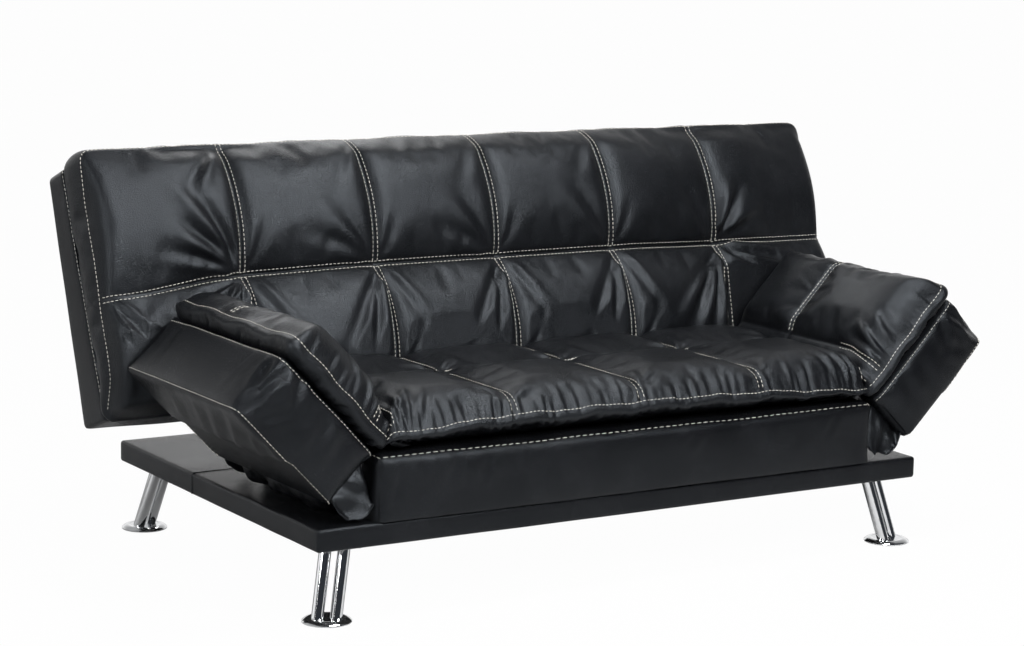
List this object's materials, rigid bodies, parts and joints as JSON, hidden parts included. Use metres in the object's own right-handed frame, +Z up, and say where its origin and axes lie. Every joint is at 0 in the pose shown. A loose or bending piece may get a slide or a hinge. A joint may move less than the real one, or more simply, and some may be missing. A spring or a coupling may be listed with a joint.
{
  "type": "futon sofa bed",
  "caption": "Click-clack futon sofa bed with a tufted folding back, boxed padded seat, two folding padded arms, wide wrapped base board and splayed twin-tube chrome legs.",
  "frame": {"origin": "on the floor under the middle of the base board", "axes": "+X to the sitter's left end as seen from the front (viewer's right), -Y to the front, +Z up"},
  "size_m": [1.864, 0.968, 0.8679],
  "materials": {
    "pad_leather": "satin",
    "box_leather": "satin",
    "gusset_cloth": "satin",
    "thread": "matte",
    "dust_cloth": "matte",
    "chrome": "polished",
    "hinge_steel": "satin",
    "glide_nylon": "matte",
    "timber": "matte",
    "slat_wood": "satin"
  },
  "bodies": {
    "base": {"arm_gusset_left": "gusset_cloth", "arm_gusset_right": "gusset_cloth", "arm_hinge_pins_left": "hinge_steel", "arm_hinge_pins_right": "hinge_steel", "arm_seat_leaves_left": "hinge_steel", "arm_seat_leaves_right": "hinge_steel", "base_board": "box_leather", "base_frame": "timber", "click_detent_left": "hinge_steel", "click_detent_right": "hinge_steel", "click_pin_left": "hinge_steel", "click_pin_right": "hinge_steel", "click_seat_plate_left": "hinge_steel", "click_seat_plate_right": "hinge_steel", "dust_cloth": "dust_cloth", "foot_glides": "glide_nylon", "leg_foot_front_left": "chrome", "leg_foot_front_right": "chrome", "leg_foot_rear_left": "chrome", "leg_foot_rear_right": "chrome", "leg_plate_front_left": "hinge_steel", "leg_plate_front_right": "hinge_steel", "leg_plate_rear_left": "hinge_steel", "leg_plate_rear_right": "hinge_steel", "leg_screws": "hinge_steel", "leg_tubes_front_left": "chrome", "leg_tubes_front_right": "chrome", "leg_tubes_rear_left": "chrome", "leg_tubes_rear_right": "chrome", "seat_bolts": "hinge_steel", "seat_box": "box_leather", "seat_frame": "timber", "seat_pad": "pad_leather", "seat_slats": "slat_wood"},
    "backrest": {"back_bolts": "hinge_steel", "back_box": "box_leather", "back_frame": "timber", "back_pad": "pad_leather", "back_slats": "slat_wood", "click_back_plate_left": "hinge_steel", "click_back_plate_right": "hinge_steel"},
    "arm_left": {"arm_box_left": "box_leather", "arm_frame_left": "timber", "arm_leaves_left": "hinge_steel", "arm_pad_left": "pad_leather"},
    "arm_right": {"arm_box_right": "box_leather", "arm_frame_right": "timber", "arm_leaves_right": "hinge_steel", "arm_pad_right": "pad_leather"}
  },
  "joints": [
    {"name": "back_fold", "type": "hinge", "parent": "base", "child": "backrest", "pos_m": [0, 0.1035, 0.391], "axis": [1, 0, 0], "range_deg": [-70, 12]},
    {"name": "arm_left_fold", "type": "hinge", "parent": "base", "child": "arm_left", "pos_m": [-0.624, 0, 0.333], "axis": [0, 1, 0], "range_deg": [-46, 8], "deforming": ["arm_gusset_left"]},
    {"name": "arm_right_fold", "type": "hinge", "parent": "base", "child": "arm_right", "pos_m": [0.624, 0, 0.333], "axis": [0, -1, 0], "range_deg": [-46, 8], "deforming": ["arm_gusset_right"]}
  ]
}
